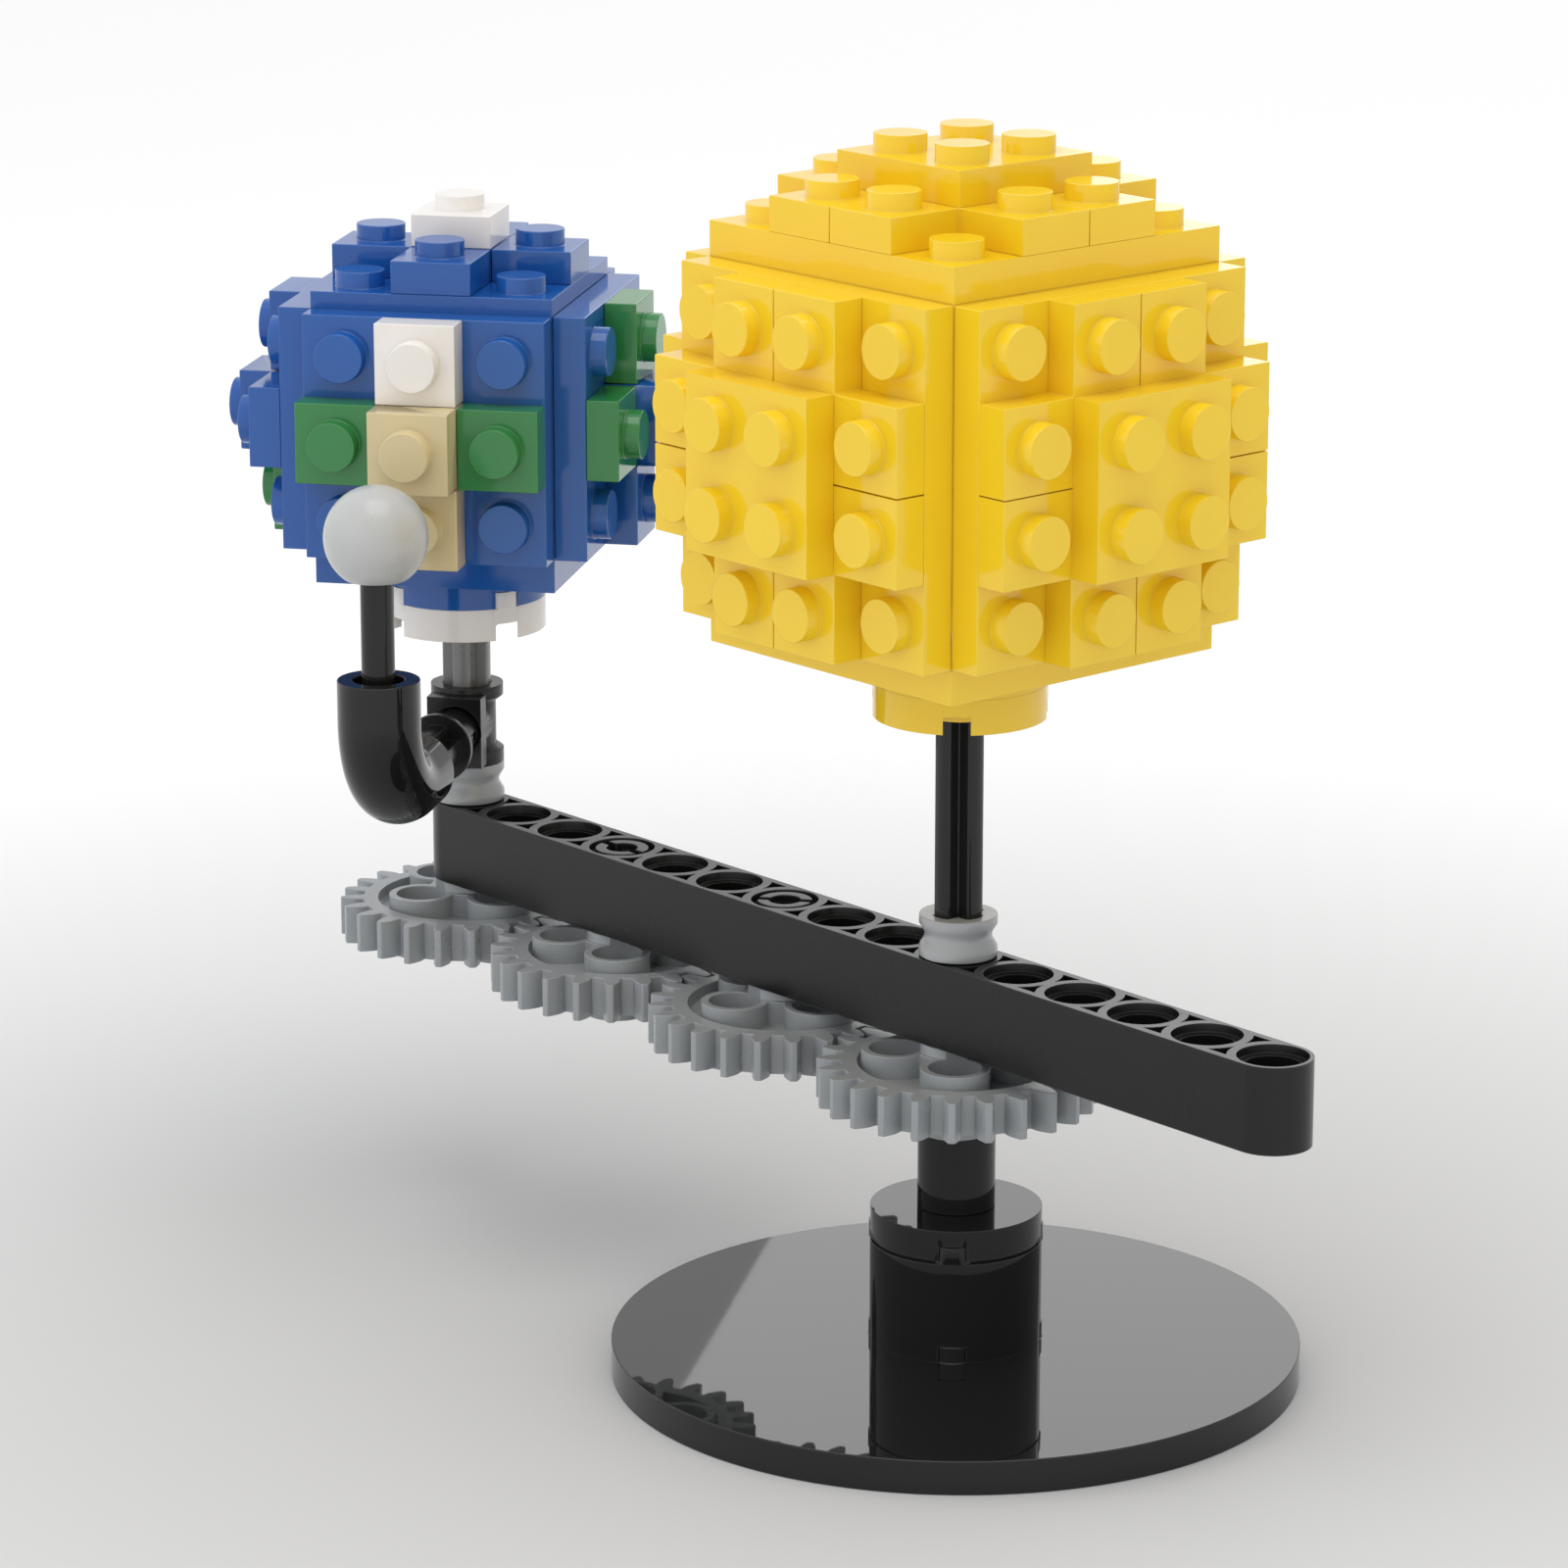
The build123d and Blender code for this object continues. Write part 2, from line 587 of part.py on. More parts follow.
def make_connector():
    block_width, block_depth, block_height = SOCKET_BLOCK
    bottom = BUSH_Z + PITCH / 2 + FACE_GAP
    top = BUSH_Z + PITCH / 2 + PITCH
    taper = CONNECTOR_NECK_TAPER
    with BuildPart() as connector:
        with BuildSketch(Plane.XZ):
            with BuildLine():
                Polyline(
                    (0, bottom),
                    (SPACER_R, bottom),
                    (SPACER_R, bottom + CONNECTOR_FLANGE),
                    (CONNECTOR_NECK_R, bottom + CONNECTOR_FLANGE + taper),
                    (CONNECTOR_NECK_R, top - CONNECTOR_FLANGE - taper),
                    (SPACER_R, top - CONNECTOR_FLANGE),
                    (SPACER_R, top),
                    (0, top),
                    close=True,
                )
            make_face()
        revolve(axis=Axis.Z)
        with BuildSketch(arm_plane(SOCKET_FACE)):
            Rectangle(block_width, block_height)
        extrude(amount=-block_depth)
        with BuildSketch(arm_plane(SOCKET_FACE)):
            Circle(CONNECTOR_NECK_R - SEAM)
        extrude(amount=-SOCKET_FACE)
        with BuildSketch(arm_plane(SOCKET_FACE)):
            Circle(HOLE_R)
        extrude(amount=SOCKET_FLOOR - SOCKET_FACE, mode=Mode.SUBTRACT)
        with BuildSketch(arm_plane(SOCKET_FACE)):
            Circle(SOCKET_RIM_R)
        extrude(amount=-SOCKET_RIM_DEPTH, mode=Mode.SUBTRACT)
        with BuildSketch(Plane.XY.offset(bottom)):
            Circle(HOLE_R)
        extrude(amount=PITCH, mode=Mode.SUBTRACT)
    save(on_moon_arm(connector.part), "moon_connector")


def make_moon_pin():
    slot_height, slot_length = MOON_PIN_SLOT
    start = SOCKET_FLOOR + FACE_GAP
    with BuildPart() as pin:
        with BuildSketch(arm_plane(start)):
            Circle(AXLE_R)
        extrude(amount=MOON_PIN_COLLAR_END - start)
        with BuildSketch(arm_plane(MOON_PIN_COLLAR_END)):
            Circle(MOON_PIN_COLLAR_R)
        extrude(amount=-MOON_PIN_COLLAR_H)
        with BuildSketch(arm_plane(MOON_PIN_COLLAR_END)):
            add(AXLE_SECTION)
        extrude(amount=MOON_PIN_LENGTH - MOON_PIN_COLLAR_END)
        with BuildSketch(Plane.XZ.offset(-AXLE_R)):
            with Locations((SOCKET_FACE + slot_length / 2, MOON_PIN_Z)):
                Rectangle(slot_length, slot_height)
        extrude(amount=2 * AXLE_R, mode=Mode.SUBTRACT)
    save(on_moon_arm(pin.part), "moon_pin")


def make_elbow():
    corner = MOON_REACH - ELBOW_BEND_R
    start = corner - ELBOW_STUB
    rim_z = MOON_PIN_Z + ELBOW_BEND_R + ELBOW_STUB
    cross_depth = MOON_PIN_LENGTH - start + FACE_GAP
    with BuildPart() as elbow:
        with BuildLine(Plane.XZ):
            foot = Line((start, MOON_PIN_Z), (corner, MOON_PIN_Z))
            bend = JernArc(foot @ 1, foot % 1, ELBOW_BEND_R, 90)
            Line(bend @ 1, (MOON_REACH, rim_z))
        with BuildSketch(arm_plane(start)):
            Circle(ELBOW_R)
        sweep()
        with BuildSketch(arm_plane(start)):
            add(CROSS_HOLE_SECTION)
        extrude(amount=cross_depth, mode=Mode.SUBTRACT)
        with Locations((MOON_REACH, 0, rim_z)):
            CounterBoreHole(BAR_SOCKET_R, HOLE_R, ELBOW_SOCKET_DEPTH, rim_z - BAR_Z)
    save(on_moon_arm(elbow.part), "moon_elbow")


def make_moon():
    make_connector()
    make_moon_pin()
    make_elbow()
    with BuildPart() as bar:
        with BuildSketch(Plane.XY.offset(BAR_Z)):
            with Locations((MOON_REACH, 0)):
                Circle(BAR_R)
        extrude(amount=BAR_LENGTH)
        chamfer(bar.edges().filter_by(GeomType.CIRCLE), length=FACE_GAP)
    save(on_moon_arm(bar.part), "moon_bar")

    with BuildPart() as ball:
        with Locations((MOON_REACH, 0, BALL_Z)):
            Sphere(BALL_R)
        split(bisect_by=Plane.XY.offset(BALL_FLAT_Z), keep=Keep.TOP)
        with BuildSketch(Plane.XY.offset(BALL_FLAT_Z)):
            with Locations((MOON_REACH, 0)):
                Circle(BAR_SOCKET_R)
        extrude(amount=BAR_Z + BAR_LENGTH - BALL_FLAT_Z, mode=Mode.SUBTRACT)
    save(on_moon_arm(ball.part), "moon_ball")


os.makedirs("parts", exist_ok=True)
make_foot_and_column()
make_sun()
make_arm()
make_earth()
make_moon()
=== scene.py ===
import math

import bpy
from bpy.props import FloatProperty, FloatVectorProperty, PointerProperty
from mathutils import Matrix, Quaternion, Vector


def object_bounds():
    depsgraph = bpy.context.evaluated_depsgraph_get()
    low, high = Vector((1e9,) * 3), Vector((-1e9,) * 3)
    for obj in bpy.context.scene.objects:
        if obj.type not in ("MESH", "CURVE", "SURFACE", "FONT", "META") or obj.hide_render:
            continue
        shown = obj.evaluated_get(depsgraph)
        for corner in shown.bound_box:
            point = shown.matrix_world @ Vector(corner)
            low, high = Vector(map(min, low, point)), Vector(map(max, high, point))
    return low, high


bl_info = {
    "name": "Brick orrery looks",
    "version": (1, 0, 0),
    "blender": (4, 5, 0),
    "location": "View3D > Sidebar > Orrery",
    "description": "Finishes the pieces of a brick-built orrery and sets a studio round them",
    "category": "Object",
}

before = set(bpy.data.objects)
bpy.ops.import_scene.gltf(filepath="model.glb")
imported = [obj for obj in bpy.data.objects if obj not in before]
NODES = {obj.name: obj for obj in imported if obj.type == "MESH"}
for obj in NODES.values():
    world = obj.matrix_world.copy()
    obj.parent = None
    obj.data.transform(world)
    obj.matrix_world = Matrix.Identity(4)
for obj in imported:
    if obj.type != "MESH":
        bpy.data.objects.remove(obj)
CAD_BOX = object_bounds()
MM = 0.001

# ---- plastic ----------------------------------------------------------------------------------
PLASTIC_IOR = 1.53
FLOW_SCALE = 60.0           # noise scales, in waves per metre
SMUDGE_SCALE = 160.0
SMOOTH_SCALE = 420.0
GRAIN_SCALE = 2600.0
TONE_SPREAD = 0.05          # how far the flow marks lighten and darken the colour
GLOSS_SPREAD = 0.3          # how far the smudges change the roughness
BUMP_STRENGTH = 0.01
BUMP_DISTANCE = 0.02 * MM
HIGHLIGHT_REACH = 0.25 * MM       # width of the painted highlight line along an edge
HIGHLIGHT_NONE = 0.995            # cosine between the flat and the rounded normal where the painted edge highlight begins
HIGHLIGHT_FULL = 0.85
PALE_SCALE = 0.75           # a painted edge highlight is a paler mix of its colour
PALE_LIFT = 0.10
MIX_FACTOR, MIX_PLAIN, MIX_HIGHLIGHT, MIX_RESULT = 0, 6, 7, 2    # colour sockets of a Mix node
FOOT_ROUGHNESS = 0.02
COLUMN_ROUGHNESS = 0.03
ELBOW_ROUGHNESS = 0.04
FOOT_SHINE = 0.4
COLUMN_SHINE = 0.27
BLACK_SHINE = 0.3
BEAM_GRAIN = 0.02
GREY_GRAIN = 0.05

# ---- edges ------------------------------------------------------------------------------------
JOIN_DISTANCE = 0.002 * MM
FLAT_ANGLE = math.radians(0.4)
EDGE_ANGLE = math.radians(35)
EDGE_SEGMENTS = 2
SHADING_WEIGHT = 50

# ---- studio -----------------------------------------------------------------------------------
# painted shadow on the floor round the orrery
SHADOW_CENTRE = (-0.02, 0.0, 0.0)
SHADOW_NEAR_REACH = 0.03     # the paper's painted shadow fades out between these distances from its centre
SHADOW_FAR_REACH = 0.28
PAPER_ROUGHNESS = 0.8
SKY_BRIGHT_WAY = (-0.6, -0.8, 0.0)
OVERHEAD_PLACE = (0.05, -0.05, 0.75)
OVERHEAD_SIZE = (0.5, 0.5)
BACK_CARD_PLACE = (-0.949, 1.476, 0.923)
BACK_CARD_AIM = (-0.217, 0.794, 0.923)
BACK_CARD_SIZE = (1.2, 0.9)
BACK_CARD_ROLL = math.radians(-29.0)
CAMERA_PLACE = (0.37996, -0.35409, 0.19720)
CAMERA_TURN = (math.radians(74.796), 0.0, math.radians(48.772))
SENSOR_WIDTH = 36.0


# ---- settings ---------------------------------------------------------------------------------
def colour(name, description, default):
    return FloatVectorProperty(
        name=name, description=description, subtype="COLOR", size=3, min=0.0, max=1.0, default=default
    )


def factor(name, description, default):
    return FloatProperty(
        name=name, description=description, subtype="FACTOR", min=0.0, max=1.0, default=default
    )


def length(name, description, default):
    return FloatProperty(
        name=name, description=description, subtype="DISTANCE", unit="LENGTH", min=0.0, default=default
    )


def amount(name, description, default, **more):
    return FloatProperty(name=name, description=description, min=0.0, default=default, **more)


class OrreryFinishes(bpy.types.PropertyGroup):
    """Colours and gloss of the moulded pieces."""

    sun_yellow: colour("Sun yellow", "Colour of the Sun's bricks", (0.90, 0.615, 0.018))
    earth_blue: colour("Earth blue", "Colour of the sea bricks", (0.013, 0.100, 0.390))
    earth_green: colour("Earth green", "Colour of the land plates", (0.030, 0.225, 0.058))
    earth_tan: colour("Earth tan", "Colour of the desert plates", (0.68, 0.57, 0.33))
    earth_white: colour("Earth white", "Colour of the ice plates", (0.86, 0.83, 0.80))
    moon_grey: colour("Moon grey", "Colour of the Moon's ball", (0.50, 0.51, 0.51))
    gear_grey: colour("Gear grey", "Colour of the gears", (0.335, 0.355, 0.37))
    # painted shade: the axle's grey is darkened to its tone in the Earth's shadow
    axle_grey: colour("Axle grey", "Colour of the Earth's axle", (0.21, 0.215, 0.215))
    bush_grey: colour("Bush grey", "Colour of the half bushes", (0.38, 0.395, 0.41))
    black: colour("Black", "Colour of the foot, column, axle and Moon's arm", (0.011, 0.011, 0.0115))
    beam_black: colour("Beam black", "Colour of the beam", (0.008, 0.008, 0.0085))
    gloss: factor("Gloss roughness", "Roughness of the shiny pieces", 0.12)
    satin: factor("Satin roughness", "Roughness of the pieces with a finely textured mould", 0.26)
    # painted highlight: how far the moulded edges are lightened
    edge_highlight: factor("Painted edge highlight", "How far the painted edge highlights lighten", 0.35)


class OrreryShapes(bpy.types.PropertyGroup):
    """Sizes of the small roundings on moulded edges."""

    edge_radius: length("Edge radius", "Rounding of the moulded edges", 0.12 * MM)
    gear_edge_radius: length("Gear edge radius", "Rounding of the gears' edges", 0.2 * MM)


class OrreryStage(bpy.types.PropertyGroup):
    """Floor, lights and camera."""

    floor_size: length("Floor size", "Width of the floor", 6.0)
    # painted shadow: the paper's brightness under the orrery
    paper_in_painted_shadow: factor("Paper in painted shadow", "Brightness of the painted shadow on the paper under the orrery", 0.60)
    paper_far: factor("Paper far", "Brightness of the paper away from the orrery", 0.99)
    sky: amount("Sky strength", "Mean strength of the white surroundings", 0.86)
    sky_slope: amount("Sky slope", "How much brighter the surroundings are on the left", 0.20)
    key: amount("Key light", "Power of the softbox overhead", 1.6, unit="POWER")
    card: amount("Back card", "Power of the tall softbox far behind the orrery", 3.4, unit="POWER")
    lens: amount("Focal length", "Lens of the camera, in millimetres", 136.37)


# ---- helpers ----------------------------------------------------------------------------------
def add_node(tree, kind, place, **settings):
    """New shader node with some of its settings."""
    node = tree.nodes.new(kind)
    node.location = place
    for name, value in settings.items():
        setattr(node, name, value)
    return node


def moulded_plastic(name, base, roughness, edge_highlight, grain=0.0, shine=0.5):
    """Injection-moulded plastic: faint flow marks, uneven gloss, fine mould texture and painted highlights
    along the edges.
    """
    material = bpy.data.materials.new(name)
    material.use_nodes = True
    tree = material.node_tree
    link = tree.links.new
    shader = tree.nodes["Principled BSDF"]
    shader.inputs["IOR"].default_value = PLASTIC_IOR
    shader.inputs["Specular IOR Level"].default_value = shine
    place = add_node(tree, "ShaderNodeTexCoord", (-1400, 0))

    flow = add_node(tree, "ShaderNodeTexNoise", (-1150, 300))
    flow.inputs["Scale"].default_value = FLOW_SCALE
    flow.inputs["Detail"].default_value = 3.0
    flow.inputs["Distortion"].default_value = 0.8
    link(place.outputs["Object"], flow.inputs["Vector"])
    tone = add_node(tree, "ShaderNodeMapRange", (-900, 300))
    tone.inputs["To Min"].default_value = 1 - TONE_SPREAD
    tone.inputs["To Max"].default_value = 1 + TONE_SPREAD
    link(flow.outputs["Fac"], tone.inputs["Value"])
    tint = add_node(tree, "ShaderNodeVectorMath", (-650, 300), operation="SCALE")
    tint.inputs[0].default_value = base
    link(tone.outputs["Result"], tint.inputs["Scale"])

    # painted highlight: where the rounded normal turns away from the flat one, the colour is lightened
    # towards a paler mix
    corner = add_node(tree, "ShaderNodeBevel", (-1150, -450), samples=4)
    corner.inputs["Radius"].default_value = HIGHLIGHT_REACH
    surface = add_node(tree, "ShaderNodeNewGeometry", (-1150, -650))
    facing = add_node(tree, "ShaderNodeVectorMath", (-900, -500), operation="DOT_PRODUCT")
    link(corner.outputs["Normal"], facing.inputs[0])
    link(surface.outputs["Normal"], facing.inputs[1])
    highlight_mask = add_node(tree, "ShaderNodeMapRange", (-650, -500), clamp=True)
    highlight_mask.inputs["From Min"].default_value = HIGHLIGHT_NONE
    highlight_mask.inputs["From Max"].default_value = HIGHLIGHT_FULL
    highlight_mask.inputs["To Max"].default_value = edge_highlight
    link(facing.outputs["Value"], highlight_mask.inputs["Value"])
    pale = tuple(PALE_SCALE * channel + PALE_LIFT for channel in base)
    highlighted = add_node(tree, "ShaderNodeMix", (-350, 300), data_type="RGBA")
    highlighted.inputs[MIX_HIGHLIGHT].default_value = (*pale, 1.0)
    link(highlight_mask.outputs["Result"], highlighted.inputs[MIX_FACTOR])
    link(tint.outputs["Vector"], highlighted.inputs[MIX_PLAIN])
    link(highlighted.outputs[MIX_RESULT], shader.inputs["Base Color"])

    smudge = add_node(tree, "ShaderNodeTexNoise", (-1150, 0))
    smudge.inputs["Scale"].default_value = SMUDGE_SCALE
    smudge.inputs["Detail"].default_value = 5.0
    smudge.inputs["Roughness"].default_value = 0.6
    link(place.outputs["Object"], smudge.inputs["Vector"])
    gloss = add_node(tree, "ShaderNodeMapRange", (-900, 0))
    gloss.inputs["To Min"].default_value = (1 - GLOSS_SPREAD) * roughness
    gloss.inputs["To Max"].default_value = (1 + GLOSS_SPREAD) * roughness
    link(smudge.outputs["Fac"], gloss.inputs["Value"])
    link(gloss.outputs["Result"], shader.inputs["Roughness"])

    texture = add_node(tree, "ShaderNodeTexNoise", (-1150, -220))
    texture.inputs["Scale"].default_value = GRAIN_SCALE if grain else SMOOTH_SCALE
    texture.inputs["Detail"].default_value = 2.0
    link(place.outputs["Object"], texture.inputs["Vector"])
    bump = add_node(tree, "ShaderNodeBump", (-350, -220))
    bump.inputs["Strength"].default_value = BUMP_STRENGTH + grain
    bump.inputs["Distance"].default_value = BUMP_DISTANCE
    link(texture.outputs["Fac"], bump.inputs["Height"])
    link(bump.outputs["Normal"], shader.inputs["Normal"])
    return material


def finish_nodes(names, material, radius):
    """Gives CAD pieces one plastic and rounds their moulded edges."""
    if not names:
        raise RuntimeError("no pieces to finish in " + material.name)
    for name in names:
        node = NODES[name]
        node.data.materials.clear()
        node.data.materials.append(material)
        weld = node.modifiers.new("Join faces", "WELD")
        weld.merge_threshold = JOIN_DISTANCE
        flat = node.modifiers.new("Flat faces", "DECIMATE")
        flat.decimate_type = "DISSOLVE"
        flat.angle_limit = FLAT_ANGLE
        edges = node.modifiers.new("Moulded edges", "BEVEL")
        edges.width = radius
        edges.segments = EDGE_SEGMENTS
        edges.limit_method = "ANGLE"
        edges.angle_limit = EDGE_ANGLE
        edges.miter_outer = "MITER_ARC"
        shading = node.modifiers.new("Even shading", "WEIGHTED_NORMAL")
        shading.mode = "FACE_AREA"
        shading.weight = SHADING_WEIGHT
        for polygon in node.data.polygons:
            polygon.use_smooth = True


def look_at(place, target, roll=0.0):
    """Rotation that points a lamp from a place to a target, turned by roll about that line."""
    facing = (Vector(target) - Vector(place)).to_track_quat("-Z", "Y")
    return (facing @ Quaternion((0.0, 0.0, 1.0), roll)).to_euler()


def softbox(name, place, target, size, power, roll=0.0):
    """Rectangular area light."""
    light = bpy.data.lights.new(name, "AREA")
    light.shape = "RECTANGLE"
    light.size, light.size_y = size
    light.energy = power
    lamp = bpy.data.objects.new(name, light)
    lamp.location = place
    lamp.rotation_euler = look_at(place, target, roll)
    bpy.context.scene.collection.objects.link(lamp)


def plastic_for(scene, key, roughness, **more):
    """Plastic in one of the finishes' colours, named after it."""
    finishes = scene.orrery_finishes
    base = tuple(getattr(finishes, key))
    return moulded_plastic(key.replace("_", " "), base, roughness, finishes.edge_highlight, **more)


def black_plastic(scene, name, roughness, shine=BLACK_SHINE):
    """Black plastic with its own name, roughness and shine."""
    finishes = scene.orrery_finishes
    return moulded_plastic(name, tuple(finishes.black), roughness, finishes.edge_highlight, shine=shine)


# ---- operators --------------------------------------------------------------------------------
class ORRERY_OT_foot(bpy.types.Operator):
    """Glossy black foot, column, spacer and the Sun's axle"""

    bl_idname = "orrery.foot"
    bl_label = "Foot and column"

    def execute(self, context):
        radius = context.scene.orrery_shapes.edge_radius
        polished = black_plastic(context.scene, "foot black", FOOT_ROUGHNESS, FOOT_SHINE)
        finish_nodes(["base_tile"], polished, radius)
        glossy = black_plastic(context.scene, "column black", COLUMN_ROUGHNESS, COLUMN_SHINE)
        finish_nodes(["column_brick", "column_tile", "column_spacer", "sun_axle"], glossy, radius)
        return {"FINISHED"}


class ORRERY_OT_sun(bpy.types.Operator):
    """Yellow plates and bricks of the Sun"""

    bl_idname = "orrery.sun"
    bl_label = "Sun"

    def execute(self, context):
        finishes = context.scene.orrery_finishes
        yellow = plastic_for(context.scene, "sun_yellow", finishes.gloss)
        fixed = ("sun_axle", "sun_gear", "sun_bush")
        names = [name for name in NODES if name.startswith("sun_") and name not in fixed]
        finish_nodes(names, yellow, context.scene.orrery_shapes.edge_radius)
        return {"FINISHED"}


class ORRERY_OT_beam(bpy.types.Operator):
    """Finely textured black beam"""

    bl_idname = "orrery.beam"
    bl_label = "Beam"

    def execute(self, context):
        finishes = context.scene.orrery_finishes
        satin = plastic_for(context.scene, "beam_black", finishes.satin, grain=BEAM_GRAIN, shine=BLACK_SHINE)
        finish_nodes(["beam"], satin, context.scene.orrery_shapes.edge_radius)
        return {"FINISHED"}


class ORRERY_OT_gears(bpy.types.Operator):
    """Grey gears and half bushes, the Earth's axle and the idlers' black pins"""

    bl_idname = "orrery.gears"
    bl_label = "Gears, axle, pins and bushes"

    def execute(self, context):
        scene = context.scene
        finishes = scene.orrery_finishes
        radius = scene.orrery_shapes.edge_radius
        grey = plastic_for(scene, "gear_grey", finishes.satin, grain=GREY_GRAIN)
        gears = [name for name in NODES if name.endswith("_gear")]
        finish_nodes(gears, grey, scene.orrery_shapes.gear_edge_radius)
        # painted shade: the Earth's axle takes a grey darkened to its shaded tone
        shaft = plastic_for(scene, "axle_grey", finishes.satin)
        finish_nodes(["earth_axle"], shaft, radius)
        pale = plastic_for(scene, "bush_grey", finishes.satin, grain=GREY_GRAIN)
        finish_nodes([name for name in NODES if name.endswith("_bush")], pale, radius)
        satin = black_plastic(scene, "pin black", finishes.satin)
        finish_nodes([name for name in NODES if name.endswith("_idler_pin")], satin, radius)
        return {"FINISHED"}


class ORRERY_OT_earth(bpy.types.Operator):
    """Blue, green, tan and white pieces of the Earth"""

    bl_idname = "orrery.earth"
    bl_label = "Earth"

    def execute(self, context):
        scene = context.scene
        finishes = scene.orrery_finishes
        radius = scene.orrery_shapes.edge_radius
        mechanism = ("earth_gear", "earth_axle", "earth_bush")
        plates = [name for name in NODES if name.startswith("earth_") and name not in mechanism]
        for tint in ("white", "green", "tan"):
            names = [name for name in plates if "_" + tint + "_" in name]
            plates = [name for name in plates if name not in names]
            finish_nodes(names, plastic_for(scene, "earth_" + tint, finishes.gloss), radius)
        finish_nodes(plates, plastic_for(scene, "earth_blue", finishes.gloss), radius)
        return {"FINISHED"}


class ORRERY_OT_moon(bpy.types.Operator):
    """Black connector, pin, elbow and bar, and the grey Moon"""

    bl_idname = "orrery.moon"
    bl_label = "Moon and its arm"

    def execute(self, context):
        scene = context.scene
        finishes = scene.orrery_finishes
        radius = scene.orrery_shapes.edge_radius
        satin = black_plastic(scene, "connector black", finishes.satin)
        finish_nodes(["moon_connector", "moon_pin"], satin, radius)
        glossy = black_plastic(scene, "elbow black", ELBOW_ROUGHNESS)
        finish_nodes(["moon_elbow", "moon_bar"], glossy, radius)
        finish_nodes(["moon_ball"], plastic_for(scene, "moon_grey", finishes.satin), radius)
        return {"FINISHED"}


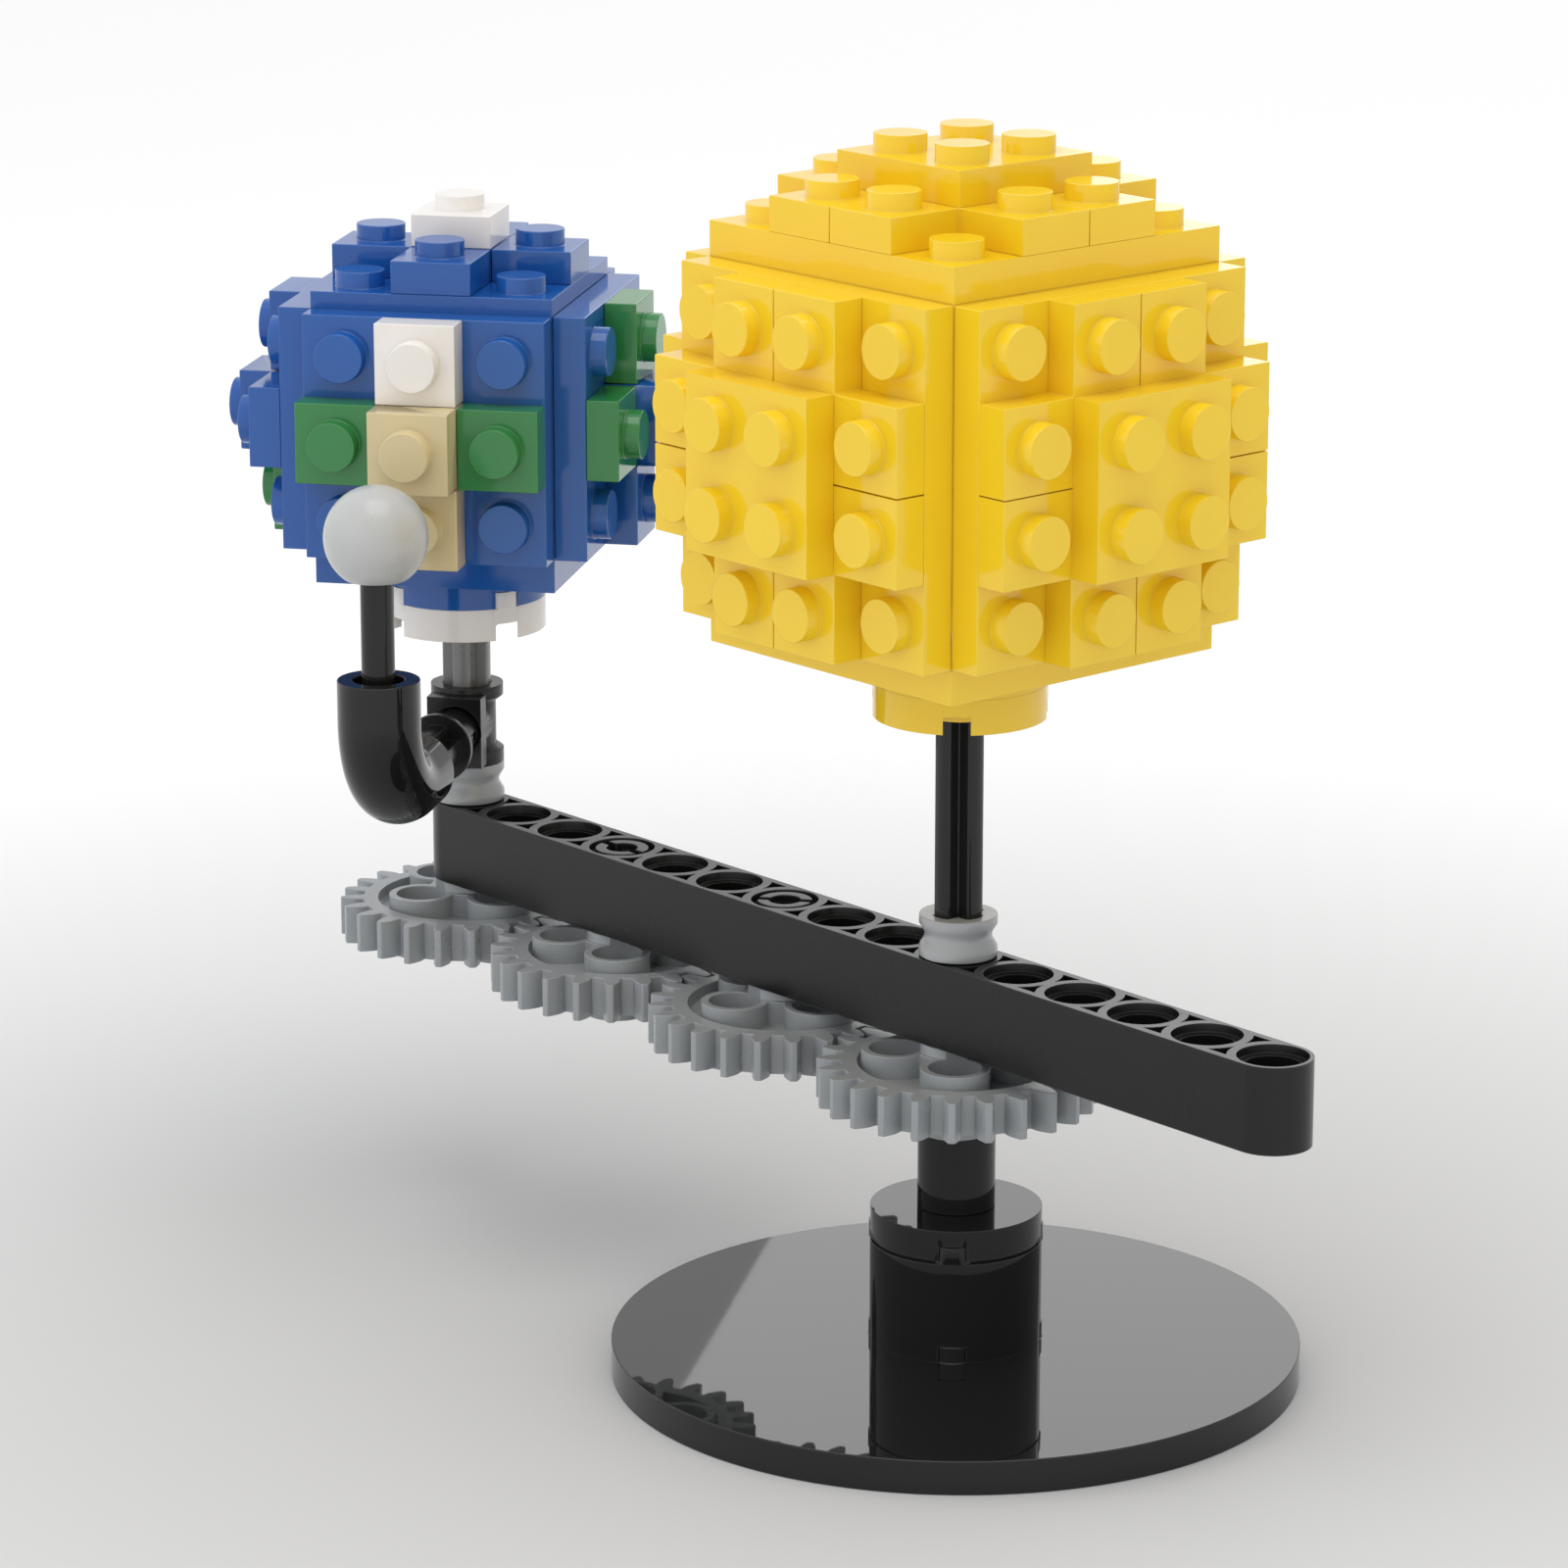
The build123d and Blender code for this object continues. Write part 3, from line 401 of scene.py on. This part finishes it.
class ORRERY_OT_stage(bpy.types.Operator):
    """Pale floor with a painted shadow round the orrery, soft lights and the camera"""

    bl_idname = "orrery.stage"
    bl_label = "Studio"

    def execute(self, context):
        scene = context.scene
        stage = scene.orrery_stage
        scene.view_settings.view_transform = "Standard"

        half = stage.floor_size / 2
        corners = [(-half, -half, 0), (half, -half, 0), (half, half, 0), (-half, half, 0)]
        mesh = bpy.data.meshes.new("floor")
        mesh.from_pydata(corners, [], [(0, 1, 2, 3)])
        floor = bpy.data.objects.new("floor", mesh)
        scene.collection.objects.link(floor)
        paper = bpy.data.materials.new("studio paper")
        paper.use_nodes = True
        tree = paper.node_tree
        link = tree.links.new
        shader = tree.nodes["Principled BSDF"]
        shader.inputs["Roughness"].default_value = PAPER_ROUGHNESS
        shader.inputs["Specular IOR Level"].default_value = 0.0
        # painted shadow: the paper is darker near the orrery and pales with distance from it
        spot = add_node(tree, "ShaderNodeNewGeometry", (-800, 0))
        shadow_reach = add_node(tree, "ShaderNodeVectorMath", (-600, 0), operation="DISTANCE")
        shadow_reach.inputs[1].default_value = SHADOW_CENTRE
        link(spot.outputs["Position"], shadow_reach.inputs[0])
        tone = add_node(tree, "ShaderNodeMapRange", (-400, 0), interpolation_type="SMOOTHSTEP")
        tone.inputs["From Min"].default_value = SHADOW_NEAR_REACH
        tone.inputs["From Max"].default_value = SHADOW_FAR_REACH
        tone.inputs["To Min"].default_value = stage.paper_in_painted_shadow
        tone.inputs["To Max"].default_value = stage.paper_far
        link(shadow_reach.outputs["Value"], tone.inputs["Value"])
        link(tone.outputs["Result"], shader.inputs["Base Color"])
        floor.data.materials.append(paper)

        world = bpy.data.worlds.new("studio")
        world.use_nodes = True
        tree = world.node_tree
        sky = tree.nodes["Background"]
        sky.inputs["Color"].default_value = (1.0, 1.0, 1.0, 1.0)
        way = add_node(tree, "ShaderNodeTexCoord", (-800, 0))
        across = add_node(tree, "ShaderNodeVectorMath", (-600, 0), operation="DOT_PRODUCT")
        across.inputs[1].default_value = SKY_BRIGHT_WAY
        tree.links.new(way.outputs["Generated"], across.inputs[0])
        slope = add_node(tree, "ShaderNodeMath", (-400, 0), operation="MULTIPLY_ADD")
        slope.inputs[1].default_value = stage.sky_slope
        slope.inputs[2].default_value = stage.sky
        tree.links.new(across.outputs["Value"], slope.inputs[0])
        tree.links.new(slope.outputs["Value"], sky.inputs["Strength"])
        scene.world = world

        target = (CAD_BOX[0] + CAD_BOX[1]) / 2
        softbox("overhead softbox", OVERHEAD_PLACE, target, OVERHEAD_SIZE, stage.key)
        softbox("back card", BACK_CARD_PLACE, BACK_CARD_AIM, BACK_CARD_SIZE, stage.card, BACK_CARD_ROLL)

        camera = bpy.data.cameras.new("camera")
        camera.sensor_width = SENSOR_WIDTH
        camera.lens = stage.lens
        eye = bpy.data.objects.new("camera", camera)
        eye.location = CAMERA_PLACE
        eye.rotation_euler = CAMERA_TURN
        scene.collection.objects.link(eye)
        scene.camera = eye
        return {"FINISHED"}


class ORRERY_PT_panel(bpy.types.Panel):
    """Lists the orrery's finishes and its studio"""

    bl_label = "Orrery"
    bl_idname = "ORRERY_PT_panel"
    bl_space_type = "VIEW_3D"
    bl_region_type = "UI"
    bl_category = "Orrery"

    def draw(self, context):
        layout = self.layout
        for group in GROUPS:
            settings = getattr(context.scene, group)
            for name in settings.__annotations__:
                layout.prop(settings, name)
        for operator in OPERATORS:
            layout.operator(operator.bl_idname)


OPERATORS = (
    ORRERY_OT_foot,
    ORRERY_OT_sun,
    ORRERY_OT_beam,
    ORRERY_OT_gears,
    ORRERY_OT_earth,
    ORRERY_OT_moon,
    ORRERY_OT_stage,
)
GROUPS = {
    "orrery_finishes": OrreryFinishes,
    "orrery_shapes": OrreryShapes,
    "orrery_stage": OrreryStage,
}


def register():
    for group in GROUPS.values():
        bpy.utils.register_class(group)
    for operator in OPERATORS:
        bpy.utils.register_class(operator)
    bpy.utils.register_class(ORRERY_PT_panel)
    for name, group in GROUPS.items():
        setattr(bpy.types.Scene, name, PointerProperty(type=group))


def unregister():
    for name in GROUPS:
        delattr(bpy.types.Scene, name)
    bpy.utils.unregister_class(ORRERY_PT_panel)
    for operator in reversed(OPERATORS):
        bpy.utils.unregister_class(operator)
    for group in GROUPS.values():
        bpy.utils.unregister_class(group)


def main():
    register()
    bpy.ops.orrery.foot()
    bpy.ops.orrery.sun()
    bpy.ops.orrery.beam()
    bpy.ops.orrery.gears()
    bpy.ops.orrery.earth()
    bpy.ops.orrery.moon()
    bpy.ops.orrery.stage()


if __name__ == "__main__":
    main()
